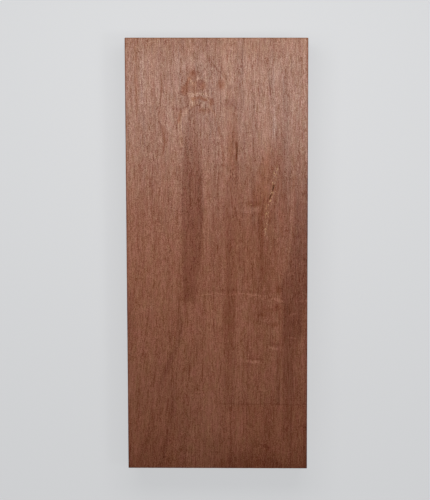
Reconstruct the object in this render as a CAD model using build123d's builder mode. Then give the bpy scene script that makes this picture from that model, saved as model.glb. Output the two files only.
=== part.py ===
"""Wood turning blank: one squared hardwood board, lying flat on its back face.

The grain runs along Y, the width along X and the thickness along Z.
The origin is at the middle of the back face, which is the face that rests on the bench.
"""

import os

from build123d import *

# Driving dimensions, in millimetres
blank_length = 363.0
blank_width = 152.0
blank_thickness = 51.0
edge_radius = 0.6
end_chamfer = 0.4

# The section across the grain is a planed rectangle with its four long arrises eased to a small radius.
# It is drawn on the sawn foot end and run along the grain to the head end.
foot_end = Plane.XZ.offset(blank_length / 2)
section_centre = (0, blank_thickness / 2)

with BuildPart() as blank:
    with BuildSketch(foot_end):
        with Locations(section_centre):
            RectangleRounded(blank_width, blank_thickness, edge_radius)
    extrude(amount=-blank_length)

    # Both ends are cross-cut, and a fine chamfer round each rim takes off the saw's splinters.
    sawn_ends = blank.faces().filter_by(Axis.Y)
    chamfer(sawn_ends.edges(), end_chamfer)

blank.part.label = "blank"

os.makedirs("parts", exist_ok=True)
export_step(blank.part, "parts/blank.step")
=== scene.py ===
"""Dresses one wood turning blank: a planed hardwood board that lies flat and is seen from above.

The grain runs along Y, from the foot end to the head end, and the show face is the top.
Places on the show face are thousandths of its width, from the left edge, and of its length,
from the head end.
Small sizes are millimetres, and Blender's own lengths are metres.
"""

import math
from typing import NamedTuple

import bpy
import numpy as np
from bpy.props import FloatProperty, FloatVectorProperty, PointerProperty
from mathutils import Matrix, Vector


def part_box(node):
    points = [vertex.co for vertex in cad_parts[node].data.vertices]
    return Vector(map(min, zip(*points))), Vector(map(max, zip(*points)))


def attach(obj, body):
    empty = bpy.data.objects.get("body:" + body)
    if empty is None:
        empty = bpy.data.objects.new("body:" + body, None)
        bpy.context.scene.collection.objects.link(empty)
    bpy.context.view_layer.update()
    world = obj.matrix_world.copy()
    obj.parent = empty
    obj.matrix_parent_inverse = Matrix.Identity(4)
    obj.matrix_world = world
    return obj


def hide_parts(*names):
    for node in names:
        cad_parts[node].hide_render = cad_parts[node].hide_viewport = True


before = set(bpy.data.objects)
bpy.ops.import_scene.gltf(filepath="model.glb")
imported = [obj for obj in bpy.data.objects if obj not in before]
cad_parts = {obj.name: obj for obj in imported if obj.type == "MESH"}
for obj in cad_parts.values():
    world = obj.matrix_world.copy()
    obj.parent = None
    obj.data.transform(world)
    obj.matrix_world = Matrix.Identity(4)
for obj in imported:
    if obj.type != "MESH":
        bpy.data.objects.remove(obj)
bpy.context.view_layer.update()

bl_info = {
    "name": "Wood Turning Blank",
    "version": (1, 0, 0),
    "blender": (4, 5, 0),
    "location": "3D View > Sidebar > Blank",
    "description": "Builds a planed hardwood turning blank round its packed frame",
    "category": "Add Mesh",
}

# The board's sizes come from the frame, in millimetres
MM = 0.001
blank_low, blank_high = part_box("blank")
WIDTH, LENGTH, THICKNESS = ((high - low) / MM for low, high in zip(blank_low, blank_high))


# The figure of the show face


class Path(NamedTuple):
    """A narrow mark that runs through a few places, with the half of its width and the fade of its edge."""

    places: tuple
    half: float
    fade: float


class Spot(NamedTuple):
    """An oval mark: its half sizes across and along the grain, and its edge's fade as a share of them."""

    place: tuple
    half_across: float
    half_along: float
    fade_share: float


class Ribbon(NamedTuple):
    """A mark along the grain: stations of place down, left edge, right edge and strength, and its fade."""

    stations: tuple
    fade: float


class Mark(NamedTuple):
    """Shapes that change the wood alike: the tint of its colour and the gain of its gloss."""

    tint: tuple
    gloss: float
    shapes: tuple


# A dark ribbon that starts under the swirl and ends two thirds of the way down, with a darker right edge
DARK_RIBBON = Mark((0.76, 0.68, 0.67), 0.5, (
    Ribbon((
        (150, 360, 395, 0), (175, 350, 400, 0.5), (230, 325, 405, 0.6), (280, 320, 412, 0.75),
        (320, 310, 420, 1), (450, 308, 418, 0.95), (500, 308, 412, 0.85), (545, 312, 397, 0.9),
        (585, 316, 388, 1.05), (607, 320, 386, 1.1), (620, 322, 382, 0),
    ), 1.4),
))
DARK_RIBBON_EDGE = Mark((0.92, 0.87, 0.83), 0.9, (
    Ribbon((
        (165, 382, 397, 0), (200, 380, 398, 0.6), (280, 385, 406, 0.8), (330, 390, 413, 1),
        (400, 387, 410, 0.6), (460, 387, 405, 0),
    ), 1.0),
))

# A fine dark line that widens into a faint ribbon down the middle
MIDDLE_LINE = Mark((0.76, 0.66, 0.62), 0.35, (
    Ribbon((
        (130, 585, 605, 0), (170, 588, 610, 0.3), (205, 590, 614, 0.6), (222, 590, 618, 0.9),
        (243, 592, 617, 0.7), (250, 599, 615, 1), (284, 600, 615, 1), (318, 601, 614, 0.8),
        (340, 601, 614, 0.5), (370, 603, 612, 0),
    ), 1.0),
))
MIDDLE_RIBBON = Mark((0.89, 0.83, 0.79), 0.7, (
    Ribbon((
        (300, 570, 615, 0), (350, 555, 615, 0.6), (400, 545, 615, 0.9), (500, 545, 612, 1),
        (575, 545, 610, 0.9), (600, 540, 603, 1), (660, 533, 598, 0.9), (720, 533, 590, 0.8),
        (780, 540, 585, 0.7), (870, 545, 580, 0),
    ), 1.4),
))

# Brown wood round the gum pocket, and the line that runs on below it
POCKET_BROWN = Mark((0.93, 0.87, 0.82), 0.55, (
    Ribbon((
        (210, 770, 862, 0), (245, 765, 866, 0.4), (290, 745, 870, 0.9), (340, 715, 862, 1),
        (370, 690, 850, 1), (400, 720, 830, 0.8), (440, 750, 810, 0.4), (475, 760, 785, 0),
    ), 4.0),
    Ribbon((
        (340, 842, 875, 0), (370, 838, 882, 0.9), (420, 836, 882, 1), (450, 840, 878, 0.6),
        (475, 850, 870, 0),
    ), 1.8),
))
POCKET_LINE = Mark((0.78, 0.67, 0.60), 0.6, (
    Ribbon((
        (370, 735, 760, 0), (410, 730, 756, 1), (470, 728, 752, 1), (520, 735, 757, 0.7),
        (580, 738, 755, 0.6), (610, 742, 752, 0),
    ), 1.2),
))

# The right side: a soft dusky band above, and a very dark ribbon at the edge below it
DUSKY_BAND = Mark((0.90, 0.87, 0.89), 1.0, (
    Ribbon((
        (60, 840, 870, 0), (100, 845, 885, 0.8), (200, 845, 900, 1), (300, 835, 900, 1.1),
        (370, 835, 900, 1.1), (420, 850, 890, 0.8), (500, 860, 900, 0),
    ), 2.6),
))
EDGE_RIBBON = Mark((0.70, 0.60, 0.57), 0.8, (
    Ribbon((
        (290, 960, 1020, 0), (340, 935, 1020, 0.4), (440, 920, 1020, 0.8), (520, 900, 1020, 0.85),
        (575, 850, 1010, 0.85), (625, 862, 980, 1), (690, 862, 975, 1), (715, 862, 945, 0.7),
        (800, 860, 935, 0.6), (850, 858, 930, 0.3), (930, 850, 920, 0.25), (970, 850, 920, 0),
    ), 2.2),
    Ribbon(((480, 915, 945, 0), (540, 912, 948, 0.8), (600, 908, 945, 0.9), (630, 905, 945, 0)), 1.6),
    Ribbon((
        (695, 828, 850, 0), (720, 824, 848, 0.7), (800, 828, 850, 0.5), (840, 830, 852, 0.8),
        (860, 832, 850, 0),
    ), 1.2),
))
RIGHT_RIM = Mark((0.80, 0.70, 0.68), 1.0, (
    Ribbon((
        (300, 992, 1020, 0), (400, 988, 1020, 0.6), (600, 984, 1020, 0.7), (780, 982, 1020, 0.9),
        (1000, 980, 1020, 1),
    ), 1.6),
))

# Browner wood in the right half
BROWN_RIGHT = Mark((0.91, 0.86, 0.79), 0.8, (
    Ribbon((
        (260, 610, 780, 0), (340, 610, 780, 0.7), (400, 610, 800, 0.9), (450, 615, 830, 1),
        (520, 620, 850, 1), (590, 650, 850, 0.5), (640, 680, 850, 0),
    ), 4.0),
    Ribbon((
        (600, 700, 1050, 0), (650, 680, 1050, 0.4), (850, 660, 1050, 0.4), (950, 660, 1050, 0.6),
        (1000, 660, 1050, 0.6),
    ), 6.0),
))

# Broad tints that are painted light: a yellower head, painted in for the warm colour of the lamp's sheen
# there, and a paler foot half that makes up for the lamps' light falling off towards the foot
HEAD_SHEEN_TINT = Mark((1.0, 1.02, 0.88), 0.98, (
    Ribbon((
        (0, -50, 1050, 0.9), (120, -50, 1050, 0.8), (300, -50, 1050, 0.5), (400, -50, 1050, 0),
    ), 6.0),
))
# Painted light: the foot half is paler, to make up for the lamps' fall towards the foot
FOOT_HALF_LIGHT = Mark((1.05, 1.07, 1.10), 1.0, (
    Ribbon((
        (550, -50, 1050, 0), (650, -50, 1050, 0.5), (740, -50, 1050, 0.9), (1000, -50, 1050, 0.9),
    ), 6.0),
))

# Paler areas: at both sides and low down
PALE_SIDES = Mark((1.07, 1.10, 1.10), 1.2, (
    Ribbon((
        (250, -50, 300, 0), (340, -50, 302, 0.3), (450, -50, 302, 0.5), (580, -50, 304, 0.6),
        (640, -50, 290, 0),
    ), 2.0),
    Ribbon(((770, -50, 50, 0), (820, -50, 50, 1), (900, -50, 45, 1), (1000, -50, 40, 0.8)), 1.4),
    Ribbon(((0, 830, 1050, 0.9), (50, 850, 1050, 0.6), (90, 890, 1050, 0)), 6.0),
    Ribbon((
        (90, 930, 1050, 0), (110, 930, 1050, 0.4), (160, 935, 1050, 1), (250, 960, 1050, 0.6),
        (310, 970, 1050, 0),
    ), 2.0),
))
PALE_LOW = Mark((1.11, 1.14, 1.16), 1.1, (
    Ribbon((
        (600, 450, 530, 0), (620, 447, 532, 1), (740, 445, 520, 0.9), (760, 440, 515, 0.6),
        (860, 435, 512, 0.8), (900, 440, 500, 1), (940, 435, 480, 0.5), (970, 430, 460, 0),
    ), 1.4),
    Ribbon((
        (630, 610, 650, 0), (680, 608, 660, 0.8), (780, 605, 665, 1), (820, 600, 660, 0.3),
        (860, 560, 660, 0.3), (885, 550, 660, 1), (925, 560, 650, 0.9), (950, 570, 630, 0),
    ), 1.6),
    Ribbon((
        (280, -50, 180, 0), (360, -50, 190, 0.35), (470, -50, 190, 0.7), (680, -50, 180, 0.6),
        (780, -50, 120, 0.5), (840, -50, 100, 0),
    ), 4.0),
    Ribbon(((640, 310, 370, 0), (670, 312, 372, 0.8), (710, 315, 375, 0.8), (740, 320, 370, 0)), 1.6),
))

# Dark streaks that lean to the left in the lower left, and dark stretches of the left rim and the foot;
# along the foot end the darkening is partly painted shade
LEANING_STREAKS = Mark((0.82, 0.75, 0.74), 1.0, (
    Ribbon((
        (620, 285, 305, 0), (650, 282, 306, 0.7), (690, 282, 310, 0.9), (720, 262, 290, 0.9),
        (755, 215, 250, 0.9), (800, 178, 205, 0.9), (825, 170, 190, 0),
    ), 1.4),
    Ribbon((
        (770, 240, 262, 0), (820, 238, 268, 0.75), (870, 240, 268, 0.8), (920, 215, 245, 0.6),
        (960, 190, 215, 0.7), (1000, 165, 190, 0.7),
    ), 1.4),
))
LEFT_RIM = Mark((0.78, 0.68, 0.66), 1.0, (
    Ribbon((
        (420, -50, 12, 0), (470, -50, 14, 0.6), (560, -50, 12, 0.5), (600, -50, 30, 0.6),
        (670, -50, 35, 0.6), (700, -50, 12, 0.3), (750, -50, 10, 0),
    ), 1.6),
))
# Dark wood at the foot, and painted shade that deepens across the whole foot end
DARK_FOOT_AND_SHADE = Mark((0.74, 0.65, 0.59), 1.0, (
    Ribbon((
        (915, 700, 750, 0), (940, 685, 748, 0.6), (957, 660, 750, 0.6), (970, 570, 790, 0.6),
        (985, 500, 850, 1), (1000, 460, 1000, 1),
    ), 3.0),
    Ribbon(((945, -50, 1050, 0), (975, -50, 1050, 0.25), (1000, -50, 1050, 0.60)), 1.0),
    Ribbon(((900, 80, 220, 0), (930, 70, 210, 0.4), (1000, 50, 220, 0.6)), 3.0),
    Ribbon((
        (910, 420, 540, 0), (940, 410, 550, 0.4), (980, 400, 550, 0.5), (1000, 400, 540, 0.3),
    ), 2.0),
))
# Painted light: redder and a little darker towards the foot end, for the dimmer light and the warm light
# bounced there
WARM_FOOT_SHADE = Mark((0.97, 0.90, 0.86), 1.0, (
    Ribbon((
        (848, 560, 1050, 0), (856, 540, 1050, 0.8), (920, 520, 1050, 0.6), (1000, 500, 1050, 0.8),
    ), 6.0),
    Ribbon(((830, -50, 200, 0), (880, -50, 260, 0.7), (1000, -50, 300, 1)), 6.0),
))

# Lines round the swirl that catch less light than the wood beside them
DULL_LINES = Mark((0.91, 0.84, 0.81), 0.4, (
    Ribbon(((0, 52, 66, 0.7), (100, 54, 67, 0.9), (150, 56, 68, 0.8), (190, 60, 68, 0)), 0.8),
    Ribbon((
        (160, 468, 476, 0), (180, 485, 493, 0.8), (200, 500, 508, 0.8), (235, 520, 529, 0.9),
        (280, 533, 541, 0.9), (330, 538, 546, 0.7), (370, 540, 546, 0),
    ), 0.8),
    Ribbon((
        (150, 555, 600, 0), (200, 555, 602, 0.5), (260, 557, 602, 1), (330, 560, 602, 0.6),
        (370, 560, 602, 0),
    ), 3.4),
))
BRIGHT_STREAKS = Mark((1.02, 1.03, 1.03), 1.25, (
    Ribbon((
        (0, 80, 100, 0.5), (30, 82, 102, 1), (180, 86, 108, 1), (220, 98, 122, 1.3), (265, 104, 122, 0),
    ), 1.0),
    Ribbon(((120, 222, 250, 0), (150, 222, 250, 1), (210, 232, 252, 0.9), (250, 245, 255, 0)), 1.0),
    Ribbon((
        (30, 800, 820, 0), (60, 802, 822, 1), (150, 806, 820, 0.8), (220, 806, 828, 1.6),
        (260, 812, 824, 0),
    ), 1.0),
    Ribbon(((80, 898, 914, 0), (120, 900, 916, 1), (280, 905, 918, 0.9), (330, 910, 918, 0)), 1.0),
))
DULL_HEAD = Mark((1.0, 1.03, 1.04), 0.70, (
    Ribbon(((0, -50, 1050, 1), (25, -50, 1050, 0.8), (60, -50, 1050, 0)), 1.0),
))

# A line that waves down beside the swirl
WAVY_LINE = Mark((0.78, 0.66, 0.60), 0.25, (
    Path(((197, 85), (199, 105), (200, 128), (193, 145), (190, 165)), 0.25, 0.8),
    Path(((190, 165), (183, 182), (187, 198), (206, 214), (215, 235)), 0.25, 0.8),
    Path(((215, 235), (212, 254), (203, 275)), 0.25, 0.8),
    Ribbon((
        (100, 193, 206, 0), (120, 191, 210, 0.7), (145, 187, 198, 0), (205, 192, 205, 0),
        (220, 201, 215, 0.6), (240, 206, 226, 0.6), (270, 204, 218, 0),
    ), 0.8),
))

# The swirl: dull blots, dusky wood and thin dark lines, with paler wood between them
BLUSH_SWIRL = Mark((0.95, 0.88, 0.83), 0.56, (
    Spot((371, 89), 5.0, 6.0, 0.7),
    Spot((379, 115), 9.4, 5.8, 0.45),
))
DULL_SWIRL = Mark((0.94, 0.86, 0.80), 0.38, (
    Spot((371, 83), 2.2, 2.6, 0.8),
    Spot((326, 123), 3.4, 5.0, 0.55),
    Path(((350, 97), (334, 112)), 1.3, 1.2),
    Spot((428, 112), 2.6, 4.4, 0.9),
    Path(((372, 143), (406, 140), (440, 146)), 1.3, 0.8),
    Spot((473, 151), 2.8, 4.2, 0.5),
    Path(((306, 172), (296, 184), (292, 196)), 1.0, 0.9),
    Spot((526, 111), 3.6, 5.0, 0.7),
    Spot((430, 170), 6.0, 3.0, 0.9),
))
DUSKY_SWIRL = Mark((0.81, 0.73, 0.74), 0.6, (
    Spot((588, 154), 7.5, 4.4, 1.0),
    Spot((560, 146), 4.4, 2.2, 1.0),
    Spot((607, 163), 4.0, 2.6, 1.0),
    Spot((574, 118), 2.4, 2.8, 0.7),
))
SWIRL_LINES = Mark((0.82, 0.73, 0.71), 0.45, (
    Path(((336, 132), (350, 147), (342, 161), (316, 165), (298, 168)), 0.55, 0.8),
    Path(((258, 166.5), (272, 165.5)), 0.45, 0.7),
    Path(((286, 192), (283, 212), (287, 245)), 0.25, 0.7),
    Path(((410, 157), (366, 163), (350, 170)), 0.5, 0.6),
    Path(((465, 50), (490, 68), (520, 82), (553, 98)), 0.6, 0.7),
    Path(((513, 53), (533, 77), (554, 91)), 0.4, 0.7),
))
PALE_SWIRL = Mark((1.16, 1.26, 1.20), 1.15, (
    Path(((306, 252), (303, 220), (300, 200), (306, 190), (331, 172)), 1.2, 0.8),
    Spot((334, 171), 2.2, 2.6, 0.5),
    Path(((360, 136), (366, 146), (366, 158)), 2.2, 0.9),
    Spot((397, 155), 1.1, 1.7, 0.6),
    Path(((346, 133), (396, 132), (452, 133)), 0.9, 0.8),
    Path(((446, 132), (452, 149), (462, 163), (490, 181)), 0.6, 0.7),
))
PALE_DROP = Mark((1.24, 1.36, 1.36), 1.5, (
    Path(((346, 96), (360, 103), (375, 110)), 0.6, 0.8),
    Path(((402, 94), (390, 102), (376, 110)), 0.5, 0.8),
    Spot((375, 109), 2.2, 2.4, 0.7),
))

# Marks across the grain, left by the planer and by small rays
# Their pale tint is a painted highlight on the raised cross lines
HIGHLIT_CROSSES = Mark((1.30, 1.42, 1.52), 1.5, (
    Path(((560, 598), (620, 595), (740, 600)), 0.3, 0.8),
    Path(((400, 599), (500, 595), (560, 598)), 0.12, 0.7),
    Path(((686, 600.5), (707, 597.8), (731, 599.7)), 0.4, 0.7),
    Path(((811, 607), (830, 608.5), (856, 613.5)), 0.9, 0.7),
    Path(((748, 607), (763, 607)), 0.4, 0.7),
    Path(((894, 552), (908, 547), (924, 551)), 0.4, 0.8),
    Path(((953, 613), (1000, 613)), 0.4, 0.8),
    Path(((897, 645), (936, 642)), 0.5, 0.8),
    Path(((894, 697), (936, 699)), 0.5, 0.8),
    Path(((790, 720.5), (838, 724)), 0.7, 0.8),
    Path(((665, 752.5), (731, 754)), 0.8, 0.8),
))
# Pale wisps of wood, their tint partly a painted highlight of the figure's sheen
PALE_HIGHLIT_WISPS = Mark((1.12, 1.18, 1.22), 1.5, (
    Spot((715, 402), 5.5, 2.2, 0.7),
    Spot((130, 632), 3.8, 7.0, 0.6),
    Spot((800, 686), 4.0, 3.4, 0.6),
    Spot((816, 222), 1.6, 10.0, 0.8),
    Path(((634, 403.5), (690, 406.5), (744, 395)), 0.8, 1.2),
    Path(((741, 657), (790, 660)), 1.0, 1.4),
))
DARK_CROSSES = Mark((0.82, 0.74, 0.69), 0.8, (
    Path(((520, 850), (700, 852), (800, 850), (900, 853), (1000, 851)), 0.35, 0.8),
    Path(((665, 747), (700, 746), (755, 748)), 0.5, 0.7),
    Path(((795, 713), (845, 713)), 0.9, 1.0),
    Path(((420, 590), (620, 588), (735, 593)), 0.2, 0.9),
    Path(((951, 905), (970, 901), (995, 906)), 0.6, 0.8),
    Path(((735, 944), (762, 947), (790, 952)), 0.7, 1.0),
    Path(((863, 636), (863, 715)), 0.2, 0.5),
    Path(((926, 826), (927, 849)), 0.4, 0.6),
))
BROWN_CROSSES = Mark((0.80, 0.69, 0.60), 0.55, (
    Spot((696, 388), 6.5, 2.6, 0.7),
    Spot((835, 628), 5.0, 4.2, 0.9),
    Spot((840, 587), 3.4, 4.2, 0.8),
    Spot((785, 634), 5.0, 2.4, 0.9),
    Spot((752, 644), 4.2, 2.0, 0.8),
    Spot((818, 667), 4.4, 2.4, 0.8),
))
PIN_KNOT = Mark((0.70, 0.60, 0.57), 0.6, (
    Spot((242, 495), 1.1, 1.3, 0.7),
))
CHECK = Mark((0.54, 0.45, 0.39), 0.3, (
    Path(((608.5, 248.5), (613, 253), (611, 263), (612.5, 270), (609.5, 285)), 0.12, 0.28),
))

FIGURE = (
    DARK_RIBBON, DARK_RIBBON_EDGE, MIDDLE_LINE, MIDDLE_RIBBON, POCKET_BROWN, POCKET_LINE, DUSKY_BAND,
    EDGE_RIBBON, RIGHT_RIM, BROWN_RIGHT, HEAD_SHEEN_TINT, FOOT_HALF_LIGHT, PALE_SIDES, PALE_LOW, LEANING_STREAKS,
    LEFT_RIM, DARK_FOOT_AND_SHADE, WARM_FOOT_SHADE, DULL_LINES, BRIGHT_STREAKS, DULL_HEAD, WAVY_LINE, BLUSH_SWIRL,
    DULL_SWIRL, DUSKY_SWIRL, SWIRL_LINES, PALE_SWIRL, PALE_DROP, HIGHLIT_CROSSES, PALE_HIGHLIT_WISPS, DARK_CROSSES,
    BROWN_CROSSES, PIN_KNOT, CHECK,
)

# The gum pocket: the run of its crumbs, its larger flecks, and its pits
POCKET = Path(((830, 306), (808, 352), (794, 384), (777, 404), (771, 460)), 0.9, 1.8)
GUM_FLECKS = (
    Spot((793.4, 381.2), 0.65, 1.0, 0.6),
    Spot((822.7, 358.5), 0.40, 0.6, 0.6),
    Spot((809, 361.2), 0.45, 0.7, 0.6),
    Spot((808, 337.5), 0.45, 1.0, 0.6),
    Spot((830, 321.5), 0.30, 0.7, 0.6),
    Spot((816.5, 315), 0.35, 0.8, 0.6),
)
GUM_THREADS = (
    Path(((814, 311), (823, 319), (830, 327)), 0.05, 0.35),
    Path(((832, 311), (829, 324)), 0.05, 0.30),
    Path(((775.5, 388), (774.5, 406)), 0.05, 0.35),
    Path(((782, 404), (780, 414)), 0.05, 0.30),
    Path(((776.5, 426), (775.5, 438)), 0.05, 0.35),
    Path(((769.5, 447), (768.5, 460)), 0.05, 0.35),
    Spot((690, 389.5), 0.35, 0.35, 0.7),
    Spot((672, 391.5), 0.25, 0.25, 0.7),
)
PITS = (
    Path(((812.5, 344), (808.5, 356)), 0.26, 0.40),
    Path(((803, 364), (801, 367.5)), 0.14, 0.35),
    Path(((795, 369), (791, 375)), 0.24, 0.40),
)

# The middle of the arcs that the saw has left on the ends, across and up
SAW_MIDDLE = (-40.0, -160.0)

# A whole width or length, in the units of places
WHOLE = 1000

# Places down are read as the camera sees them: the foot end looks this much smaller than the head end.
SEEN_TAPER = 0.032


def across_mm(place):
    return (place / WHOLE - 0.5) * WIDTH


def down_mm(place):
    seen_share = place / WHOLE
    real_share = seen_share * (1.0 - SEEN_TAPER) / (1.0 - SEEN_TAPER * seen_share)
    return (0.5 - real_share) * LENGTH


# Shader maths as Python expressions


def is_triple(value):
    """True for a colour or a vector, whether it is a wire or plain numbers."""
    return isinstance(value, tuple) or isinstance(value, Wire) and value.socket.type in {"VECTOR", "RGBA"}


def wire_operators(operation):
    """A wire's method for one of Python's operators, and its reflected form."""

    def straight(self, other):
        return self.work_out(operation, self, other)

    def reflected(self, other):
        return self.work_out(operation, other, self)

    return straight, reflected


class Wire:
    """A node's output, on which Python's operators add the nodes that work the result out."""

    __add__, __radd__ = wire_operators("ADD")
    __sub__, __rsub__ = wire_operators("SUBTRACT")
    __mul__, __rmul__ = wire_operators("MULTIPLY")
    __truediv__, __rtruediv__ = wire_operators("DIVIDE")
    __pow__, __rpow__ = wire_operators("POWER")

    def __init__(self, graph, socket):
        self.graph = graph
        self.socket = socket

    def work_out(self, operation, first, second):
        triples = [is_triple(first), is_triple(second)]
        if operation == "MULTIPLY" and triples[0] != triples[1]:
            vector, number = (first, second) if triples[0] else (second, first)
            sockets = {"Vector": vector, "Scale": number}
            return self.graph.add("ShaderNodeVectorMath", {"operation": "SCALE"}, sockets)
        kind = "ShaderNodeVectorMath" if any(triples) else "ShaderNodeMath"
        return self.graph.add(kind, {"operation": operation}, {0: first, 1: second})

    def __abs__(self):
        return self.graph.add("ShaderNodeMath", {"operation": "ABSOLUTE"}, {0: self})

    def or_more(self, other):
        return self.work_out("MAXIMUM", self, other)

    def parts(self):
        """The three numbers of a vector or a colour."""
        kind = "ShaderNodeSeparateColor" if self.socket.type == "RGBA" else "ShaderNodeSeparateXYZ"
        split = self.graph.add(kind, {}, {0: self}).socket.node
        return [Wire(self.graph, socket) for socket in split.outputs]

    def length(self):
        return self.graph.add("ShaderNodeVectorMath", {"operation": "LENGTH"}, {0: self}, "Value")

    def fraction(self):
        return self.graph.add("ShaderNodeMath", {"operation": "FRACT"}, {0: self})


class Graph:
    """The nodes of one material or of the world."""

    def __init__(self, tree):
        self.tree = tree

    def add(self, kind, settings, sockets, output=0):
        """Adds a node, sets its settings, feeds its sockets values or links, and returns one output."""
        node = self.tree.nodes.new(kind)
        for name, value in settings.items():
            if name == "stops":
                self.set_stops(node.color_ramp, value)
            else:
                setattr(node, name, value)
        for name, value in sockets.items():
            self.feed(self.named(node.inputs, name), value)
        return Wire(self, self.named(node.outputs, output))

    def named(self, sockets, name):
        """A socket by its number, or else by its identifier, which is never shared."""
        if isinstance(name, int):
            return sockets[name]
        return next(socket for socket in sockets if socket.identifier == name)

    def feed(self, socket, value):
        if isinstance(value, Wire):
            self.tree.links.new(value.socket, socket)
        elif socket.type == "RGBA":
            socket.default_value = (*value[:3], 1.0)
        elif socket.type == "VECTOR" and not isinstance(value, tuple):
            socket.default_value = (value, value, value)
        else:
            socket.default_value = value

    def set_stops(self, ramp, stops):
        while len(ramp.elements) < len(stops):
            ramp.elements.new(1.0)
        for element, (place, *values) in zip(ramp.elements, stops):
            element.position = place
            element.color = (*values, 1.0)

    def smooth(self, value, start, end):
        """0 up to start and 1 from end, with an eased rise between. It falls where end is below start."""
        ease = {"interpolation_type": "SMOOTHSTEP", "clamp": False}
        return self.add("ShaderNodeMapRange", ease, {"Value": value, "From Min": start, "From Max": end})

    def blend(self, first, second, share):
        colours = {"Factor_Float": share, "A_Color": first, "B_Color": second}
        return self.add("ShaderNodeMix", {"data_type": "RGBA"}, colours, "Result_Color")

    def tint(self, colour, tint, share):
        """The colour, multiplied by a tint over that share."""
        colours = {"Factor_Float": share, "A_Color": colour, "B_Color": tint}
        multiply = {"data_type": "RGBA", "blend_type": "MULTIPLY"}
        return self.add("ShaderNodeMix", multiply, colours, "Result_Color")

    def noise(self, place, across, along, detail=1.0, output="Fac"):
        """Cloudy values about 0.5, in patches of these sizes across and along the grain."""
        sockets = {"Vector": place / (across, along, across), "Scale": 1.0, "Detail": detail}
        return self.add("ShaderNodeTexNoise", {}, sockets, output)

    def cloud(self, place, across, along, detail=1.0, output="Fac"):
        """The same values, about 0."""
        return self.noise(place, across, along, detail, output) - 0.5

    def cells(self, place, across, along, output):
        """Cells of these sizes: a random colour for each, or the distance from its middle."""
        sockets = {"Vector": place / (across, along, across), "Scale": 1.0}
        return self.add("ShaderNodeTexVoronoi", {}, sockets, output)

    def feed_shader(self, node, sockets):
        for name, value in sockets.items():
            self.feed(node.inputs[name], value)


def new_material(name):
    material = bpy.data.materials.new(name)
    material.use_nodes = True
    return material, Graph(material.node_tree)


# The wood's material: sizes of its patches across and along the grain
WANDER_SIZES = (42.0, 130.0)
FRAY_SIZES = (0.7, 26.0)
BEND_SIZES = (3.4, 4.5)
MOTTLE_SIZES = (1.3, 6.0)
FLECK_SIZES = (0.44, 0.75)
FIBRE_SIZES = (0.42, 13.0)
VESSEL_SIZES = (0.55, 3.2)
STREAK_SIZES = (2.2, 60.0)
BELT_SIZES = (7.0, 110.0)
PORE_SIZES = (1.2, 36.0)
HUE_SIZES = (7.0, 12.0)
FINE_HUE_SIZES = (2.4, 7.0)
CRUMB_SIZES = (0.5, 0.8)
BREAK_SIZES = (0.5, 0.9)

# How far the grain wanders, and how far marks are frayed and bent, across, along and up
WANDER_REACH = (5.0, 0.0, 5.0)
SPOT_FRAY = (0.6, 1.6, 0.0)
SPOT_BEND = (2.2, 2.2, 0.0)
RIBBON_FRAY = (1.2, 7.0, 0.0)

# The swirl that the grain parts round
SWIRL_PLACE = (410, 150)
SWIRL_SIZES = (17.0, 30.0, 30.0)
SWIRL_PUSH = 0.45

# The lean of the grain in the lower left: where it sets in and is full, where it turns, and its slope
LEAN_ACROSS = (450, 100)
LEAN_DOWN = (550, 800)
LEAN_TURN = 20.0
LEAN_SLOPE = 0.08

# Depths below the show face, behind the ends and in from the edges, where their own look starts and is full
SHOW_DEPTHS = (10.0, 3.0)
END_DEPTHS = (0.6, 0.2)
RIM_DEPTHS = (1.3, 0.4)

# Growth bands and rings lie round a heart that is below the back face, off to the left
HEART = (-95.0, 0.0, -110.0)
BAND_WIDTH = 3.4
BAND_LENGTH = 260.0
RING_WIDTH = 4.6
RING_WAVER = 1.4

# The width of the rays, in radians about the heart, and of the saw's arcs
RAY_WIDTH = 0.004
ARC_WIDTH = 0.7

# Values between which pores, rings, crumbs and breaks in the gum set in
PORE_EDGES = (0.30, 0.16)
RING_EDGES = (0.45, 1.0)
CRUMB_EDGES = (0.86, 0.90)
BREAK_EDGES = (0.2, 0.6)

# How strongly the tone follows each part of the grain, from the dark colour at 0 to the pale one at 1
PLAIN_TONE = 0.525
FLECK_TONE = 2.0
FIBRE_TONE = 0.65
VESSEL_TONE = 0.28
STREAK_TONE = 0.38
BELT_TONE = 0.3
BELT_TONE_OFF_SHOW = 0.9
BAND_TONE = 0.4
RAY_TONE = 0.8
SAW_TONE = 0.9
PORE_TONE = 0.3
RING_TONE = 0.2
RING_TONE_ON_END = 0.4

# The same for the gloss, the roughness and the fine relief
FLECK_GLOSS = 4.0
FIBRE_GLOSS = 2.2
VESSEL_GLOSS = 0.9
STREAK_GLOSS = 0.9
VESSEL_ROUGHNESS = 0.10
FIBRE_ROUGHNESS = 0.25
END_ROUGHNESS = 0.3
VESSEL_HEIGHT = 0.35
STREAK_HEIGHT = 0.6
BUMP_STRENGTH = 0.5
BUMP_HEIGHT = 0.12

# The mottle in ribbons, and the shifts in hue
MOTTLE_GAIN = 1.6
MOTTLE_START = 0.2
HUE_GAIN = 2.4
HUE_START = -0.7
HUE_TINT = (1.03, 0.985, 1.075)
FINE_HUE_TINT = (1.08, 1.0, 1.13)

# Tints of pits, which paint the shade in their holes, of rims and ends, and how much the gum covers
PIT_SHADE_TINT = (0.25, 0.19, 0.15)
RIM_TINT = (0.84, 0.76, 0.76)
END_TINT = (0.97, 0.90, 0.87)
CRUMB_SHARE = 0.5
GUM_FLECK_SHARE = 0.85
THREAD_SHARE = 0.4

# Directions that are kept where a place is flattened
ACROSS_AND_ALONG = (1.0, 1.0, 0.0)
ACROSS_AND_UP = (1.0, 0.0, 1.0)


class Places(NamedTuple):
    """Where a point is: in millimetres, along the grain, and as the shares that marks follow."""

    x: Wire
    y: Wire
    place: Wire
    grain: Wire
    spot: Wire
    across: Wire
    down: Wire
    on_show: Wire
    on_end: Wire
    mottle: Wire


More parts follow.
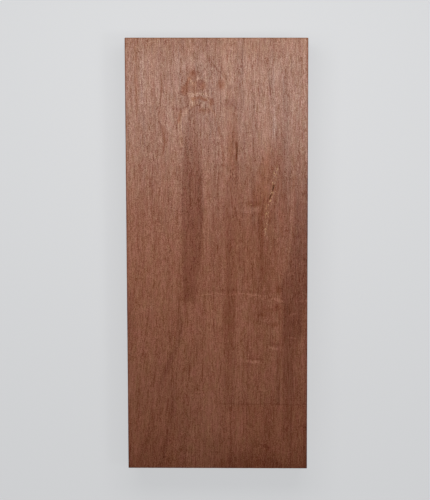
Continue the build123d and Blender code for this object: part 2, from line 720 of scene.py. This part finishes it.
def grain_lines(graph, place, x, y):
    """The place along the grain, which wanders, parts round the swirl and leans in the lower left."""
    wander = graph.cloud(place, *WANDER_SIZES, 2.0, "Color") * WANDER_REACH
    swirl_x = across_mm(SWIRL_PLACE[0])
    swirl_y = down_mm(SWIRL_PLACE[1])
    from_swirl = (place - (swirl_x, swirl_y, 0.0)) / SWIRL_SIZES
    gap = from_swirl.length()
    push = (x - swirl_x) * math.e ** (gap * gap * -1.0) * SWIRL_PUSH
    lean = graph.smooth(x, *map(across_mm, LEAN_ACROSS))
    lean = lean * graph.smooth(y, *map(down_mm, LEAN_DOWN))
    shift = push + lean * (y + LEAN_TURN) * LEAN_SLOPE
    return place + wander - graph.add("ShaderNodeCombineXYZ", {}, {"X": shift})


def wood_places(graph):
    metres = graph.add("ShaderNodeTexCoord", {}, {}, "Object")
    place = metres * (1 / MM)
    x, y, z = place.parts()
    grain = grain_lines(graph, place, x, y)

    # Marks have frayed edges: small clouds bend them, and fibres draw the long ones out along the grain.
    fray = graph.cloud(grain, *FRAY_SIZES, 1.0, "Color")
    bend = graph.cloud(place, *BEND_SIZES, 2.0, "Color")
    spot = (place + fray * SPOT_FRAY + bend * SPOT_BEND) * ACROSS_AND_ALONG
    drawn_x, drawn_y, _ = (spot + fray * RIBBON_FRAY).parts()
    across = drawn_x / WIDTH + 0.5
    real_share = 0.5 - drawn_y / LENGTH
    down = real_share / (real_share * SEEN_TAPER + (1.0 - SEEN_TAPER))

    on_show = graph.smooth(THICKNESS - z, *SHOW_DEPTHS)
    on_end = graph.smooth(abs(y), *[LENGTH / 2 - depth for depth in END_DEPTHS])
    mottle = graph.noise(grain, *MOTTLE_SIZES) * MOTTLE_GAIN + MOTTLE_START
    return Places(x, y, place, grain, spot, across, down, on_show, on_end, mottle)


def path_cover(graph, at, path):
    """1 on a path's runs, fading to 0 at its edges."""
    covers = []
    for start, end in zip(path.places, path.places[1:]):
        first = Vector((across_mm(start[0]), down_mm(start[1]), 0.0))
        run = Vector((across_mm(end[0]), down_mm(end[1]), 0.0)) - first
        away = at.spot - tuple(first)
        sockets = {0: away, 1: tuple(run / run.length_squared)}
        along = graph.add("ShaderNodeVectorMath", {"operation": "DOT_PRODUCT"}, sockets, "Value")
        held = graph.add("ShaderNodeClamp", {}, {"Value": along})
        gap = (away - held * tuple(run)).length()
        covers.append(graph.smooth(gap, path.half + path.fade, path.half - path.fade / 2))
    return most_of(covers)


def spot_cover(graph, at, spot):
    """1 in a spot's middle, fading to 0 at its edge."""
    middle = (across_mm(spot.place[0]), down_mm(spot.place[1]), 0.0)
    gap = ((at.spot - middle) / (spot.half_across, spot.half_along, 1.0)).length()
    return graph.smooth(gap, 1.0 + spot.fade_share / 2, 1.0 - spot.fade_share)


def ribbon_cover(graph, at, ribbon):
    """A ribbon's strength at each place: its edges and strength follow its stations down the board."""
    # A ramp holds nothing below 0, and some ribbons reach past the board's edge.
    offset = 0.1
    stops = [
        (down / WHOLE, left / WHOLE + offset, right / WHOLE + offset, strength)
        for down, left, right, strength in ribbon.stations
    ]
    ramp = graph.add("ShaderNodeValToRGB", {"stops": stops}, {"Fac": at.down})
    left, right, strength = ramp.parts()
    fade_share = ribbon.fade / WIDTH
    inside = graph.smooth(at.across - left + offset, -fade_share, fade_share)
    inside = inside * graph.smooth(at.across - right + offset, fade_share, -fade_share)
    return inside * strength * at.mottle


def most_of(covers):
    found = covers[0]
    for cover in covers[1:]:
        found = found.or_more(cover)
    return found


def shapes_cover(graph, at, shapes):
    makers = {Path: path_cover, Spot: spot_cover, Ribbon: ribbon_cover}
    return most_of([makers[type(shape)](graph, at, shape) for shape in shapes]) * at.on_show


class Grain(NamedTuple):
    """The wood's structure: values about 0, but for pores and rings, which are 1 at their darkest."""

    flecks: Wire
    fibres: Wire
    vessels: Wire
    streaks: Wire
    belts: Wire
    bands: Wire
    rays: Wire
    saw: Wire
    pores: Wire
    rings: Wire


def wood_grain(graph, at):
    """Long along the grain and fine across it, so faces show dashes and streaks, and ends show dots."""
    flecks = graph.cloud(at.grain, *FLECK_SIZES)
    fibres = graph.cloud(at.grain, *FIBRE_SIZES)
    vessels = graph.cells(at.grain, *VESSEL_SIZES, "Color").parts()[0] - 0.5
    streaks = graph.cloud(at.grain, *STREAK_SIZES, 2.0)
    belts = graph.cloud(at.grain, *BELT_SIZES)
    pores = graph.smooth(graph.cells(at.grain, *PORE_SIZES, "Distance"), *PORE_EDGES)

    # Bands and rings lie round the heart, and rays run out from it.
    from_heart = (at.grain - HEART) * ACROSS_AND_UP
    radius = from_heart.length()
    band_place = {"X": radius / BAND_WIDTH, "Y": at.y / BAND_LENGTH}
    bands = graph.cloud(graph.add("ShaderNodeCombineXYZ", {}, band_place), 1.0, 1.0, 3.0)
    rings = graph.smooth((radius / RING_WIDTH + bands * RING_WAVER).fraction(), *RING_EDGES)
    rays = graph.cloud(from_heart / radius, RAY_WIDTH, 1.0)

    # A round blade has left arcs on the ends.
    from_blade = (at.place - (SAW_MIDDLE[0], 0.0, SAW_MIDDLE[1])) * ACROSS_AND_UP
    saw = graph.cloud(graph.add("ShaderNodeCombineXYZ", {}, {"X": from_blade.length()}), ARC_WIDTH, 1.0)
    return Grain(flecks, fibres, vessels, streaks, belts, bands, rays, saw, pores, rings)


def plain_wood(graph, at, grain, finish):
    """The bare wood's colour: a mix of dark and pale by the grain, with slow and fine shifts in hue."""
    fine = grain.flecks * FLECK_TONE + grain.fibres * FIBRE_TONE + grain.vessels * VESSEL_TONE
    off_show = 1.0 - at.on_show
    broad = grain.streaks * STREAK_TONE + grain.belts * (BELT_TONE + BELT_TONE_OFF_SHOW * off_show)
    broad = broad + grain.bands * (BAND_TONE + at.on_end)
    sawn = (grain.rays * RAY_TONE + grain.saw * SAW_TONE) * at.on_end
    dark = grain.pores * (PORE_TONE + PORE_TONE * off_show)
    dark = dark + grain.rings * off_show * (RING_TONE + RING_TONE_ON_END * at.on_end)
    tone = PLAIN_TONE + fine + broad + sawn - dark
    colour = graph.blend(tuple(finish.dark_colour), tuple(finish.pale_colour), tone)
    for sizes, tint in ((HUE_SIZES, HUE_TINT), (FINE_HUE_SIZES, FINE_HUE_TINT)):
        hue = graph.noise(at.grain, *sizes) * HUE_GAIN + HUE_START
        colour = graph.tint(colour, tint, hue)
    return colour


def gum_and_pits(graph, at, colour, gum_colour):
    """The gum pocket: straw-coloured crumbs, flecks and threads, and pits darkened with painted shade."""
    crumbs = graph.smooth(graph.cells(at.grain, *CRUMB_SIZES, "Color").parts()[0], *CRUMB_EDGES)
    crumbs = shapes_cover(graph, at, (POCKET,)) * crumbs * CRUMB_SHARE
    pits = shapes_cover(graph, at, PITS)
    broken = graph.smooth(graph.cells(at.grain, *BREAK_SIZES, "Color").parts()[0], *BREAK_EDGES)
    flecks = shapes_cover(graph, at, GUM_FLECKS) * broken * GUM_FLECK_SHARE
    threads = shapes_cover(graph, at, GUM_THREADS) * broken * THREAD_SHARE
    colour = graph.blend(colour, gum_colour, crumbs.or_more(flecks).or_more(threads))
    # Painted shade: the pits are darkened as their hollows would be in shade
    return graph.tint(colour, PIT_SHADE_TINT, pits)


def wood_material(finish):
    material, graph = new_material("planed_heartwood")
    at = wood_places(graph)
    grain = wood_grain(graph, at)
    colour = plain_wood(graph, at, grain, finish)
    gloss = 1.0 + grain.flecks * FLECK_GLOSS + grain.fibres * FIBRE_GLOSS
    gloss = finish.gloss * (gloss + grain.vessels * VESSEL_GLOSS + grain.streaks * STREAK_GLOSS)

    # Each mark tints the colour and scales the gloss; the tints of some marks are painted light and shade
    for mark in FIGURE:
        cover = shapes_cover(graph, at, mark.shapes)
        colour = graph.tint(colour, mark.tint, cover)
        gloss = gloss * (1.0 + cover * (mark.gloss - 1.0))
    colour = gum_and_pits(graph, at, colour, tuple(finish.gum_colour))

    # The sawn ends are darker, with no burnish, and the show face is darker along its rims.
    rim = graph.smooth(abs(at.x), *[WIDTH / 2 - depth for depth in RIM_DEPTHS])
    colour = graph.tint(colour, RIM_TINT, rim * at.on_show)
    colour = graph.tint(colour, END_TINT, at.on_end)
    gloss = gloss * (1.0 - at.on_end)

    rough = finish.roughness + grain.vessels * VESSEL_ROUGHNESS + grain.fibres * FIBRE_ROUGHNESS
    rough = rough + at.on_end * END_ROUGHNESS
    height = grain.fibres + grain.vessels * VESSEL_HEIGHT + grain.streaks * STREAK_HEIGHT
    relief = {"Strength": BUMP_STRENGTH, "Distance": BUMP_HEIGHT * MM, "Height": height}
    normal = graph.add("ShaderNodeBump", {}, relief)
    sockets = {
        "Base Color": colour,
        "Roughness": rough,
        "Specular IOR Level": finish.shine,
        "Coat Weight": gloss,
        "Coat Roughness": finish.roughness,
        "Normal": normal,
    }
    graph.feed_shader(graph.tree.nodes["Principled BSDF"], sockets)
    return material


# The board's mesh: its steps across, along and up, and its lines at a rim, as shares of the rim's radius
STEPS = (1.5, 3.0, 1.3)
RIM_LINE_SHARES = (0.0, 0.12, 0.35, 0.65, 1.0, 1.4)

# Finer stretches of the mesh: how far they reach past what they show, and their step
POCKET_ACROSS_ZONE = (1.0, 0.3)
POCKET_ALONG_ZONE = (1.0, 0.8)
CHECK_ZONE = (0.6, 0.15)
KNOT_ZONE = (1.5, 0.4)

# Patches of the relief, across and along
RAISED_SIZES = (1.9, 24.0)
SWAY_SIZES = (30.0, 60.0)
BROAD_SIZES = (6.0, 90.0)
RAGGED_SIZES = (0.8, 1.5)
CRUMBLED_SIZES = (0.7, 1.1)
WEAR_SIZES = (7.0, 9.0)
SIDE_SIZES = (2.1, 26.0)
SAW_MARK_SIZES = (2.6, LENGTH)

# Depths and heights of the small relief, and the shares of a pit that are sure and ragged
CRUMB_DEPTH = 0.12
DARK_CROSS_DEPTH = 0.06
PALE_CROSS_HEIGHT = 0.04
KNOT_DEPTH = 0.12
SAW_MARK_DEPTH = 0.04
SURE_SHARE = 0.7
RAGGED_SHARE = 0.3

# The flat floor of a groove or a hollow, as a share of its half width
HOLLOW_FLOOR_SHARE = 0.2

# A point belongs to a flat side where its outward direction is at least this much along one axis
FLAT_SHARE = 0.99


def eased_share(share):
    return share * share * (3.0 - 2.0 * share)


def eased(value, start, end):
    return eased_share(np.clip((value - start) / (end - start), 0.0, 1.0))


def value_noise(across, along, sizes, seed, sway=0.0):
    """Smooth seeded values about 0, in patches of these sizes, which sway can shift across."""
    side = 64
    table = np.random.default_rng(seed).uniform(-1.0, 1.0, (side, side))
    across = across / sizes[0] + sway
    along = along / sizes[1]
    left = np.floor(across).astype(int)
    near = np.floor(along).astype(int)
    share_a = eased_share(across - left)
    share_b = eased_share(along - near)
    corners = [[table[(left + i) % side, (near + j) % side] for j in (0, 1)] for i in (0, 1)]
    first = corners[0][0] * (1.0 - share_b) + corners[0][1] * share_b
    second = corners[1][0] * (1.0 - share_b) + corners[1][1] * share_b
    return first * (1.0 - share_a) + second * share_a


def path_hollow(x, y, path):
    """How far points lie in a path's groove, from 0 at its rim to 1 on its line."""
    found = np.zeros_like(x)
    for start, end in zip(path.places, path.places[1:]):
        first = np.array((across_mm(start[0]), down_mm(start[1])))
        run = np.array((across_mm(end[0]), down_mm(end[1]))) - first
        along = np.clip(((x - first[0]) * run[0] + (y - first[1]) * run[1]) / (run @ run), 0.0, 1.0)
        gap = np.hypot(x - first[0] - along * run[0], y - first[1] - along * run[1])
        found = np.maximum(found, eased(gap, path.half + path.fade, HOLLOW_FLOOR_SHARE * path.half))
    return found


def spot_hollow(x, y, spot):
    """How far points lie in a spot's hollow, from 0 at its rim to 1 in its middle."""
    away_x = (x - across_mm(spot.place[0])) / spot.half_across
    away_y = (y - down_mm(spot.place[1])) / spot.half_along
    return eased(np.hypot(away_x, away_y), 1.0 + spot.fade_share / 2, HOLLOW_FLOOR_SHARE)


def grid_lines(start, end, rim, step, zones):
    """Places of the mesh's lines along one side: close at both rims and in the zones, even elsewhere."""
    rim_steps = [share * rim for share in RIM_LINE_SHARES]
    inner_start = start + rim_steps[-1]
    inner_end = end - rim_steps[-1]
    inner = [inner_start]
    while inner[-1] < inner_end:
        fine_steps = [fine for low, high, fine in zones if low <= inner[-1] < high]
        inner.append(inner[-1] + min([step, *fine_steps]))
    inner = np.array(inner)
    inner = inner_start + (inner - inner_start) * (inner_end - inner_start) / (inner[-1] - inner_start)
    return np.concatenate([start + np.array(rim_steps[:-1]), inner, end - np.array(rim_steps[-2::-1])])


def fine_zone(places, margin, step):
    return min(places) - margin, max(places) + margin, step


def board_lines(rim):
    """The mesh's lines across, along and up, finest round the gum pocket, the check and the knot."""
    knot_across, knot_down = PIN_KNOT.shapes[0].place
    zones_across = [
        fine_zone([across_mm(across) for across, _ in POCKET.places], *POCKET_ACROSS_ZONE),
        fine_zone([across_mm(across) for across, _ in CHECK.shapes[0].places], *CHECK_ZONE),
        fine_zone([across_mm(knot_across)], *KNOT_ZONE),
    ]
    zones_along = [
        fine_zone([down_mm(down) for _, down in POCKET.places], *POCKET_ALONG_ZONE),
        fine_zone([down_mm(knot_down)], *KNOT_ZONE),
    ]
    return [
        grid_lines(-WIDTH / 2, WIDTH / 2, rim, STEPS[0], zones_across),
        grid_lines(-LENGTH / 2, LENGTH / 2, rim, STEPS[1], zones_along),
        grid_lines(0.0, THICKNESS, rim, STEPS[2], []),
    ]


def surface_grid(lines):
    """The points on a box's surface, numbered once each, and the quads of its six sides, facing out."""
    counts = [len(axis_lines) for axis_lines in lines]
    on_surface = np.zeros(counts, bool)
    for axis in range(3):
        for end in (0, -1):
            np.moveaxis(on_surface, axis, 0)[end] = True
    number = np.full(counts, -1)
    number[on_surface] = np.arange(on_surface.sum())
    points = np.stack([grid[on_surface] for grid in np.meshgrid(*lines, indexing="ij")], 1)
    quads = []
    for axis in range(3):
        for end in (0, -1):
            side = np.moveaxis(number, axis, 0)[end]
            # The corners, in order, turn outwards on the far side of X and Z and on the near side of Y.
            outward = (end == -1) != (axis == 1)
            ring = [side[:-1, :-1], side[1:, :-1], side[1:, 1:], side[:-1, 1:]]
            corners = np.stack([corner.ravel() for corner in ring], 1)
            quads.append(corners if outward else corners[:, ::-1])
    return points, quads


def eased_arrises(points, radius):
    """The box's points moved onto edges of each point's own radius, and each point's outward direction."""
    half = np.array((WIDTH / 2, LENGTH / 2, THICKNESS / 2))
    middle = np.array((0.0, 0.0, THICKNESS / 2))
    inner = half - radius[:, None]
    core = np.clip(points - middle, -inner, inner)
    out = points - middle - core
    out /= np.linalg.norm(out, axis=1)[:, None]
    return middle + core + out * radius[:, None], out


def show_relief(x, y, shape):
    """The show face's height over flat, in millimetres: raised grain, pits, check, cross lines and knot."""
    relief = shape.grain_relief / MM
    sway = value_noise(x, y, SWAY_SIZES, 4)
    height = relief * value_noise(x, y, RAISED_SIZES, 1, sway)
    height += relief * value_noise(x, y, BROAD_SIZES, 2)
    height -= relief
    ragged = SURE_SHARE + RAGGED_SHARE * value_noise(x, y, RAGGED_SIZES, 3)
    for path in PITS:
        height -= shape.pocket_depth / MM * path_hollow(x, y, path) * ragged
    crumbs = value_noise(x, y, CRUMBLED_SIZES, 5)
    height -= CRUMB_DEPTH * path_hollow(x, y, POCKET) * (1.0 + crumbs)
    for path in CHECK.shapes:
        height -= shape.check_depth / MM * path_hollow(x, y, path)
    for path in DARK_CROSSES.shapes:
        height -= DARK_CROSS_DEPTH * path_hollow(x, y, path)
    for path in HIGHLIT_CROSSES.shapes:
        height += PALE_CROSS_HEIGHT * path_hollow(x, y, path)
    for spot in PIN_KNOT.shapes:
        height -= KNOT_DEPTH * spot_hollow(x, y, spot)
    return height


def board_relief(points, out, shape):
    """The height of each side's points over flat, in millimetres."""
    x, y, z = points.T
    side_relief = shape.grain_relief / MM * (value_noise(x + z, y, SIDE_SIZES, 7) - 1.0)
    from_blade = np.hypot(x - SAW_MIDDLE[0], z - SAW_MIDDLE[1])
    saw_marks = SAW_MARK_DEPTH * (value_noise(from_blade, y, SAW_MARK_SIZES, 8) - 1.0)
    height = np.where(out[:, 2] > FLAT_SHARE, show_relief(x, y, shape), side_relief)
    return np.where(np.abs(out[:, 1]) > FLAT_SHARE, saw_marks, height)


def board_mesh(shape):
    """The board as one closed mesh."""
    rim = shape.arris_radius / MM
    flat_points, quads = surface_grid(board_lines(rim))
    flat_x, flat_y, flat_z = flat_points.T
    wear = shape.arris_wear / MM * np.abs(value_noise(flat_y, flat_z, WEAR_SIZES, 6, flat_x))
    points, out = eased_arrises(flat_points, rim + wear)
    points = points + out * board_relief(points, out, shape)[:, None]

    # The head end is cut a little out of square, so its right corner falls short.
    to_head = eased(points[:, 1], -LENGTH / 2, LENGTH / 2)
    points[:, 1] -= shape.end_skew / MM * (points[:, 0] / WIDTH + 0.5) * to_head

    mesh = bpy.data.meshes.new("turning_blank")
    mesh.from_pydata(points * MM, [], np.concatenate(quads).tolist())
    mesh.shade_smooth()
    lay_out_map(mesh, flat_points, quads)
    return mesh


def lay_out_map(mesh, places, quads):
    """Lays the six sides out flat at one scale, side by side in one square."""
    gap = 2.0
    columns = [0.0, WIDTH + gap, 2 * (WIDTH + gap), 2 * (WIDTH + gap) + THICKNESS + gap]
    end_row = LENGTH + gap
    square = end_row + THICKNESS + gap
    half = np.array((WIDTH / 2, LENGTH / 2, 0.0))
    # In the order of the quads: left and right edge, foot and head end, back and show face
    corners = [
        (2, 1, columns[2], 0.0),
        (2, 1, columns[3], 0.0),
        (0, 2, columns[0], end_row),
        (0, 2, columns[1], end_row),
        (0, 1, columns[1], 0.0),
        (0, 1, columns[0], 0.0),
    ]
    spots = []
    for ring, (axis_u, axis_v, left, bottom) in zip(quads, corners):
        where = (places + half)[ring.ravel()]
        spots.append(np.stack([where[:, axis_u] + left, where[:, axis_v] + bottom], 1))
    layer = mesh.uv_layers.new(name="OFBake")
    layer.uv.foreach_set("vector", (np.concatenate(spots) / square).astype(np.float32).ravel())


def add_piece(name, mesh, material):
    piece = bpy.data.objects.new(name, mesh)
    bpy.context.scene.collection.objects.link(piece)
    mesh.materials.append(material)
    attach(piece, "root")
    return piece


# The stage: its floor in metres, and the share of the floor's look that the lamps give
FLOOR_HALF = 40.0
FLOOR_DROP = 0.2 * MM
FLOOR_LIT_SHARE = 0.25

# The room's light: where it fades upwards, its gains overhead and near the horizon, and its colour
HORIZON_EDGES = (0.65, 0.15)
OVERHEAD_GAIN = 0.42
HORIZON_GAIN = 2.8
ROOM_COLOUR = (0.96, 0.98, 1.0)

# The camera: its lens and sensor, its place in millimetres and its turn in degrees
LENS = 86.62
SENSOR_WIDTH = 36.0
CAMERA_PLACE = (22.16, 91.05, 1055.37)
CAMERA_TURN = (-4.8968, 1.3404, -0.1721)


class Lamp(NamedTuple):
    """A soft lamp: where it hangs, what it points at and its sizes, in metres, and its colour."""

    place: tuple
    target: tuple
    sizes: tuple
    colour: tuple


KEY_LAMP = Lamp((0.0, 0.205, 0.50), (0.0, 0.2049, 0.05), (0.40, 0.26), (1.0, 0.98, 0.96))
SIDE_LAMP = Lamp((0.40, 0.0, 1.05), (0.0, 0.0, 0.05), (0.10, 0.10), (1.0, 1.0, 1.0))


def pale_material(name, colour, lit_share):
    """A pale matt surface, seen partly by its own colour, so its shadows are soft and it stays pale."""
    material, graph = new_material(name)
    path = graph.add("ShaderNodeLightPath", {}, {}, "Is Camera Ray")
    glossy = graph.add("ShaderNodeLightPath", {}, {}, "Is Glossy Ray")
    seen = path.or_more(glossy) * (1.0 - lit_share)
    own = graph.add("ShaderNodeEmission", {}, {"Color": colour, "Strength": 1.0})
    matt = graph.add("ShaderNodeBsdfDiffuse", {}, {"Color": colour})
    mixed = graph.add("ShaderNodeMixShader", {}, {"Fac": seen, 1: matt, 2: own})
    output = graph.tree.nodes["Material Output"]
    graph.tree.links.new(mixed.socket, output.inputs["Surface"])
    graph.tree.nodes.remove(graph.tree.nodes["Principled BSDF"])
    return material


def add_lamp(name, lamp, power):
    data = bpy.data.lights.new(name, "AREA")
    data.shape = "RECTANGLE"
    data.size, data.size_y = lamp.sizes
    data.energy = power
    data.color = lamp.colour
    hung = bpy.data.objects.new(name, data)
    hung.location = lamp.place
    hung.rotation_euler = (Vector(lamp.target) - Vector(lamp.place)).to_track_quat("-Z", "Y").to_euler()
    bpy.context.scene.collection.objects.link(hung)


def add_floor(stage):
    mesh = bpy.data.meshes.new("floor")
    sides = ((-1, -1), (1, -1), (1, 1), (-1, 1))
    corners = [(x * FLOOR_HALF, y * FLOOR_HALF, -FLOOR_DROP) for x, y in sides]
    mesh.from_pydata(corners, [], [(0, 1, 2, 3)])
    mesh.materials.append(pale_material("pale_floor", tuple(stage.floor_colour), FLOOR_LIT_SHARE))
    floor = bpy.data.objects.new("floor", mesh)
    bpy.context.scene.collection.objects.link(floor)


def add_world(stage):
    """Soft light from all round, stronger near the horizon, so that it reaches the board's sides."""
    world = bpy.data.worlds.new("soft_room")
    world.use_nodes = True
    graph = Graph(world.node_tree)
    up = graph.add("ShaderNodeTexCoord", {}, {}, "Generated").parts()[2]
    low = graph.smooth(up, *HORIZON_EDGES)
    strength = stage.fill * (OVERHEAD_GAIN + HORIZON_GAIN * low)
    graph.feed_shader(graph.tree.nodes["Background"], {"Color": ROOM_COLOUR, "Strength": strength})
    bpy.context.scene.world = world


def add_camera():
    """The camera looks down on the show face, leaning slightly towards the foot end."""
    data = bpy.data.cameras.new("camera")
    data.lens = LENS
    data.sensor_width = SENSOR_WIDTH
    camera = bpy.data.objects.new("camera", data)
    camera.location = [side * MM for side in CAMERA_PLACE]
    camera.rotation_euler = [math.radians(turn) for turn in CAMERA_TURN]
    bpy.context.scene.collection.objects.link(camera)
    bpy.context.scene.camera = camera


# What a user would change


def length_setting(name, description, default_mm, least_mm=0.0):
    limits = {"default": default_mm * MM, "min": least_mm * MM}
    return FloatProperty(name=name, description=description, unit="LENGTH", **limits)


def colour_setting(name, description, default):
    limits = {"default": default, "min": 0.0, "max": 1.0}
    return FloatVectorProperty(name=name, description=description, subtype="COLOR", **limits)


def share_setting(name, description, default):
    limits = {"default": default, "min": 0.0, "max": 1.0}
    return FloatProperty(name=name, description=description, subtype="FACTOR", **limits)


def power_setting(name, description, default):
    return FloatProperty(name=name, description=description, unit="POWER", default=default, min=0.0)


class BlankShape(bpy.types.PropertyGroup):
    """Small shapes of the board's surface."""

    arris_radius: length_setting("Arris radius", "Radius to which the board's edges are eased", 0.6, 0.1)
    arris_wear: length_setting("Arris wear", "How much further handling has rounded the edges", 0.35)
    grain_relief: length_setting("Grain relief", "How far the raised grain stands out", 0.025)
    end_skew: length_setting("End skew", "How far the head end's right corner falls short of square", 0.8)
    pocket_depth: length_setting("Pocket depth", "Depth of the pits of the gum pocket", 1.4)
    check_depth: length_setting("Check depth", "Depth of the hairline check", 0.6)


class BlankFinish(bpy.types.PropertyGroup):
    """Colours and shine of the wood."""

    dark_colour: colour_setting("Dark wood", "Colour of the darkest fibres", (0.1220, 0.0323, 0.0122))
    pale_colour: colour_setting("Pale wood", "Colour of the palest fibres", (0.3060, 0.1356, 0.0705))
    gum_colour: colour_setting("Gum", "Colour of the dried gum in the pocket", (0.64, 0.41, 0.21))
    roughness: share_setting("Roughness", "Roughness of the planed wood", 0.32)
    shine: share_setting("Shine", "Specular level of the bare wood", 0.04)
    gloss: share_setting("Gloss", "Weight of the burnished skin that the planer leaves on the fibres", 0.47)


class BlankStage(bpy.types.PropertyGroup):
    """Floor and light."""

    floor_colour: colour_setting("Floor", "Colour of the pale floor", (0.71, 0.72, 0.735))
    key: power_setting("Key light", "Power of the soft lamp over the head end", 2.33)
    side: power_setting("Side light", "Power of the lamp on the right", 1.33)
    fill: FloatProperty(name="Fill", description="Strength of the room's light", default=0.161, min=0.0)


class BLANK_OT_board(bpy.types.Operator):
    """Builds the board with its eased edges, gum pocket and figured wood, in place of the plain solid"""

    bl_idname = "blank.board"
    bl_label = "Build Board"

    def execute(self, context):
        mesh = board_mesh(context.scene.blank_shape)
        board = add_piece("turning_blank", mesh, wood_material(context.scene.blank_finish))
        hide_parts("blank")
        return {"FINISHED"}


class BLANK_OT_stage(bpy.types.Operator):
    """Builds the floor, the lamps and the camera"""

    bl_idname = "blank.stage"
    bl_label = "Build Stage"

    def execute(self, context):
        stage = context.scene.blank_stage
        add_floor(stage)
        add_world(stage)
        add_lamp("key", KEY_LAMP, stage.key)
        add_lamp("side", SIDE_LAMP, stage.side)
        add_camera()
        context.scene.view_settings.view_transform = "Standard"
        return {"FINISHED"}


class BLANK_PT_sidebar(bpy.types.Panel):
    """Lists the blank's settings and the steps that build it"""

    bl_idname = "BLANK_PT_sidebar"
    bl_label = "Turning Blank"
    bl_space_type = "VIEW_3D"
    bl_region_type = "UI"
    bl_category = "Blank"

    def draw(self, context):
        layout = self.layout
        scene = context.scene
        for settings in (scene.blank_shape, scene.blank_finish, scene.blank_stage):
            for name in settings.__annotations__:
                layout.prop(settings, name)
        for step in (BLANK_OT_board, BLANK_OT_stage):
            layout.operator(step.bl_idname)


CLASSES = (BlankShape, BlankFinish, BlankStage, BLANK_OT_board, BLANK_OT_stage, BLANK_PT_sidebar)


def register():
    for kind in CLASSES:
        bpy.utils.register_class(kind)
    bpy.types.Scene.blank_shape = PointerProperty(type=BlankShape)
    bpy.types.Scene.blank_finish = PointerProperty(type=BlankFinish)
    bpy.types.Scene.blank_stage = PointerProperty(type=BlankStage)


def unregister():
    del bpy.types.Scene.blank_stage
    del bpy.types.Scene.blank_finish
    del bpy.types.Scene.blank_shape
    for kind in reversed(CLASSES):
        bpy.utils.unregister_class(kind)


def main():
    register()
    bpy.ops.blank.board()
    bpy.ops.blank.stage()


if __name__ == "__main__":
    main()
